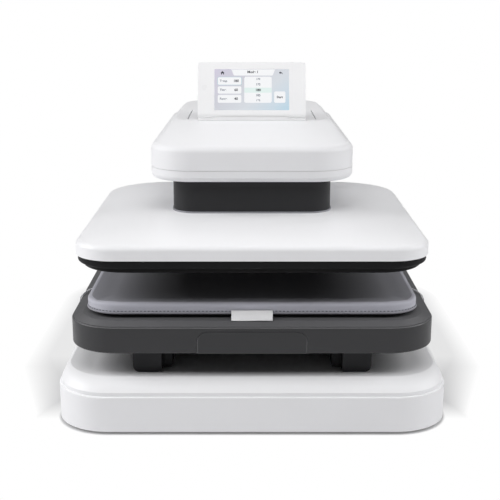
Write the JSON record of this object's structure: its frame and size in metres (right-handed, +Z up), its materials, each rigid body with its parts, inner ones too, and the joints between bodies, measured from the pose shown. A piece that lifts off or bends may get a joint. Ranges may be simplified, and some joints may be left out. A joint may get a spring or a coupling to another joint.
{
  "type": "automatic heat press",
  "caption": "Motor-driven flatbed heat press: stepped base, pull-out tray with a press pad, a platen lowered by a screw drive, and a head with a tilting touch display.",
  "frame": {"origin": "on the floor, under the middle of the base", "axes": "+Z up, +Y towards the back, +X to the right seen from the front"},
  "size_m": [0.4524, 0.6, 0.3959],
  "materials": {
    "base_shell": "fine satin",
    "base_pan": "powder coat",
    "rubber_feet": "matte",
    "rail_blocks": "powder coat",
    "slide_outer": "black zinc",
    "guide_block": "milled",
    "guide_bushes": "sintered bronze",
    "nut_bearings": "ground",
    "drive_motor": "zinc",
    "arm_frame": "powder coat",
    "limit_switches": "satin",
    "head_lower_shell": "fine satin",
    "head_upper_shell": "fine satin",
    "vent_strips": "satin",
    "control_board": "solder mask",
    "column_frame": "powder coat",
    "column_cover": "fine satin",
    "fan_frame": "satin",
    "hinge_bar": "fine satin",
    "hinge_pin": "ground",
    "power_inlet": "satin",
    "rocker_frame": "satin",
    "power_supply": "galvanised",
    "housing_screws": "zinc",
    "column_bolts": "zinc",
    "tray_shell": "fine satin",
    "grip_panel": "fine satin",
    "tray_bottom_plate": "powder coat",
    "tray_beams": "powder coat",
    "tray_brackets": "powder coat",
    "slide_inner": "black zinc",
    "lower_platen": "black anodised",
    "pad_cover": "woven heat-proof cloth",
    "pad_core": "silicone foam",
    "pad_tab": "woven tape",
    "pad_straps": "elastic cord",
    "tray_screws": "zinc",
    "slide_middle": "black zinc",
    "platen_cover": "fine satin",
    "heat_skirt": "satin",
    "heating_plate": "black non-stick coat",
    "heating_element": "heat tinted",
    "insulation_board": "fibre board",
    "heat_sensors": "satin",
    "press_bridge": "zinc",
    "bridge_spacers": "turned",
    "guide_rods": "ground",
    "lift_screw": "rolled thread",
    "lift_shroud": "satin",
    "shroud_collar": "satin",
    "lift_nut": "turned",
    "nut_gear": "natural nylon",
    "motor_pinion": "hobbed",
    "fan_rotor": "satin",
    "display_bezel": "gloss",
    "display_back_shell": "fine satin",
    "display_screen": "cover glass over a lit panel",
    "display_board": "solder mask",
    "rocker_button": "gloss"
  },
  "bodies": {
    "frame": {"base_shell": "base_shell", "base_pan": "base_pan", "rubber_feet": "rubber_feet", "rail_blocks": "rail_blocks", "slide_outer": "slide_outer", "guide_block": "guide_block", "guide_bushes": "guide_bushes", "nut_bearings": "nut_bearings", "drive_motor": "drive_motor", "arm_frame": "arm_frame", "limit_switches": "limit_switches", "head_lower_shell": "head_lower_shell", "head_upper_shell": "head_upper_shell", "vent_strips": "vent_strips", "control_board": "control_board", "column_frame": "column_frame", "column_cover": "column_cover", "fan_frame": "fan_frame", "hinge_bar": "hinge_bar", "hinge_pin": "hinge_pin", "power_inlet": "power_inlet", "rocker_frame": "rocker_frame", "power_supply": "power_supply", "housing_screws": "housing_screws", "column_bolts": "column_bolts"},
    "drawer": {"tray_shell": "tray_shell", "grip_panel": "grip_panel", "tray_bottom_plate": "tray_bottom_plate", "tray_beams": "tray_beams", "tray_brackets": "tray_brackets", "slide_inner": "slide_inner", "lower_platen": "lower_platen", "pad_cover": "pad_cover", "pad_core": "pad_core", "pad_tab": "pad_tab", "pad_straps": "pad_straps", "tray_screws": "tray_screws"},
    "slide_carriage": {"slide_middle": "slide_middle"},
    "press": {"platen_cover": "platen_cover", "heat_skirt": "heat_skirt", "heating_plate": "heating_plate", "heating_element": "heating_element", "insulation_board": "insulation_board", "heat_sensors": "heat_sensors", "press_bridge": "press_bridge", "bridge_spacers": "bridge_spacers", "guide_rods": "guide_rods", "lift_screw": "lift_screw", "lift_shroud": "lift_shroud", "shroud_collar": "shroud_collar"},
    "nut": {"lift_nut": "lift_nut", "nut_gear": "nut_gear"},
    "pinion": {"motor_pinion": "motor_pinion"},
    "fan": {"fan_rotor": "fan_rotor"},
    "display": {"display_bezel": "display_bezel", "display_back_shell": "display_back_shell", "display_screen": "display_screen", "display_board": "display_board"},
    "rocker": {"rocker_button": "rocker_button"}
  },
  "joints": [
    {"name": "drawer_slide", "type": "slide", "parent": "frame", "child": "drawer", "axis": [0, -1, 0], "range_m": [0, 0.25]},
    {"name": "carriage_slide", "type": "slide", "parent": "frame", "child": "slide_carriage", "axis": [0, -1, 0], "range_m": [0, 0.125]},
    {"name": "press_stroke", "type": "slide", "parent": "frame", "child": "press", "axis": [0, 0, -1], "range_m": [0, 0.0376]},
    {"name": "nut_spin", "type": "hinge", "parent": "frame", "child": "nut", "pos_m": [0, -0.08, 0.25], "axis": [0, 0, 1], "range_deg": [0, 3385]},
    {"name": "pinion_spin", "type": "hinge", "parent": "frame", "child": "pinion", "pos_m": [0.0615, -0.08, 0.25], "axis": [0, 0, 1], "range_deg": [-7290, 0]},
    {"name": "fan_spin", "type": "hinge", "parent": "frame", "child": "fan", "pos_m": [0, 0.23, 0.18], "axis": [0, 1, 0], "continuous": true},
    {"name": "display_tilt", "type": "hinge", "parent": "frame", "child": "display", "pos_m": [0, -0.0032, 0.3277], "axis": [1, 0, 0], "range_deg": [-66, 15]},
    {"name": "rocker_tip", "type": "hinge", "parent": "frame", "child": "rocker", "pos_m": [-0.07, 0.293, 0.0249], "axis": [1, 0, 0], "range_deg": [-16, 0]}
  ],
  "couplings": [
    {"joint": "carriage_slide", "follows": "drawer_slide", "ratio": 0.5},
    {"joint": "nut_spin", "follows": "press_stroke", "rad_per_m": 1570.8},
    {"joint": "pinion_spin", "follows": "press_stroke", "rad_per_m": -3383.3}
  ]
}
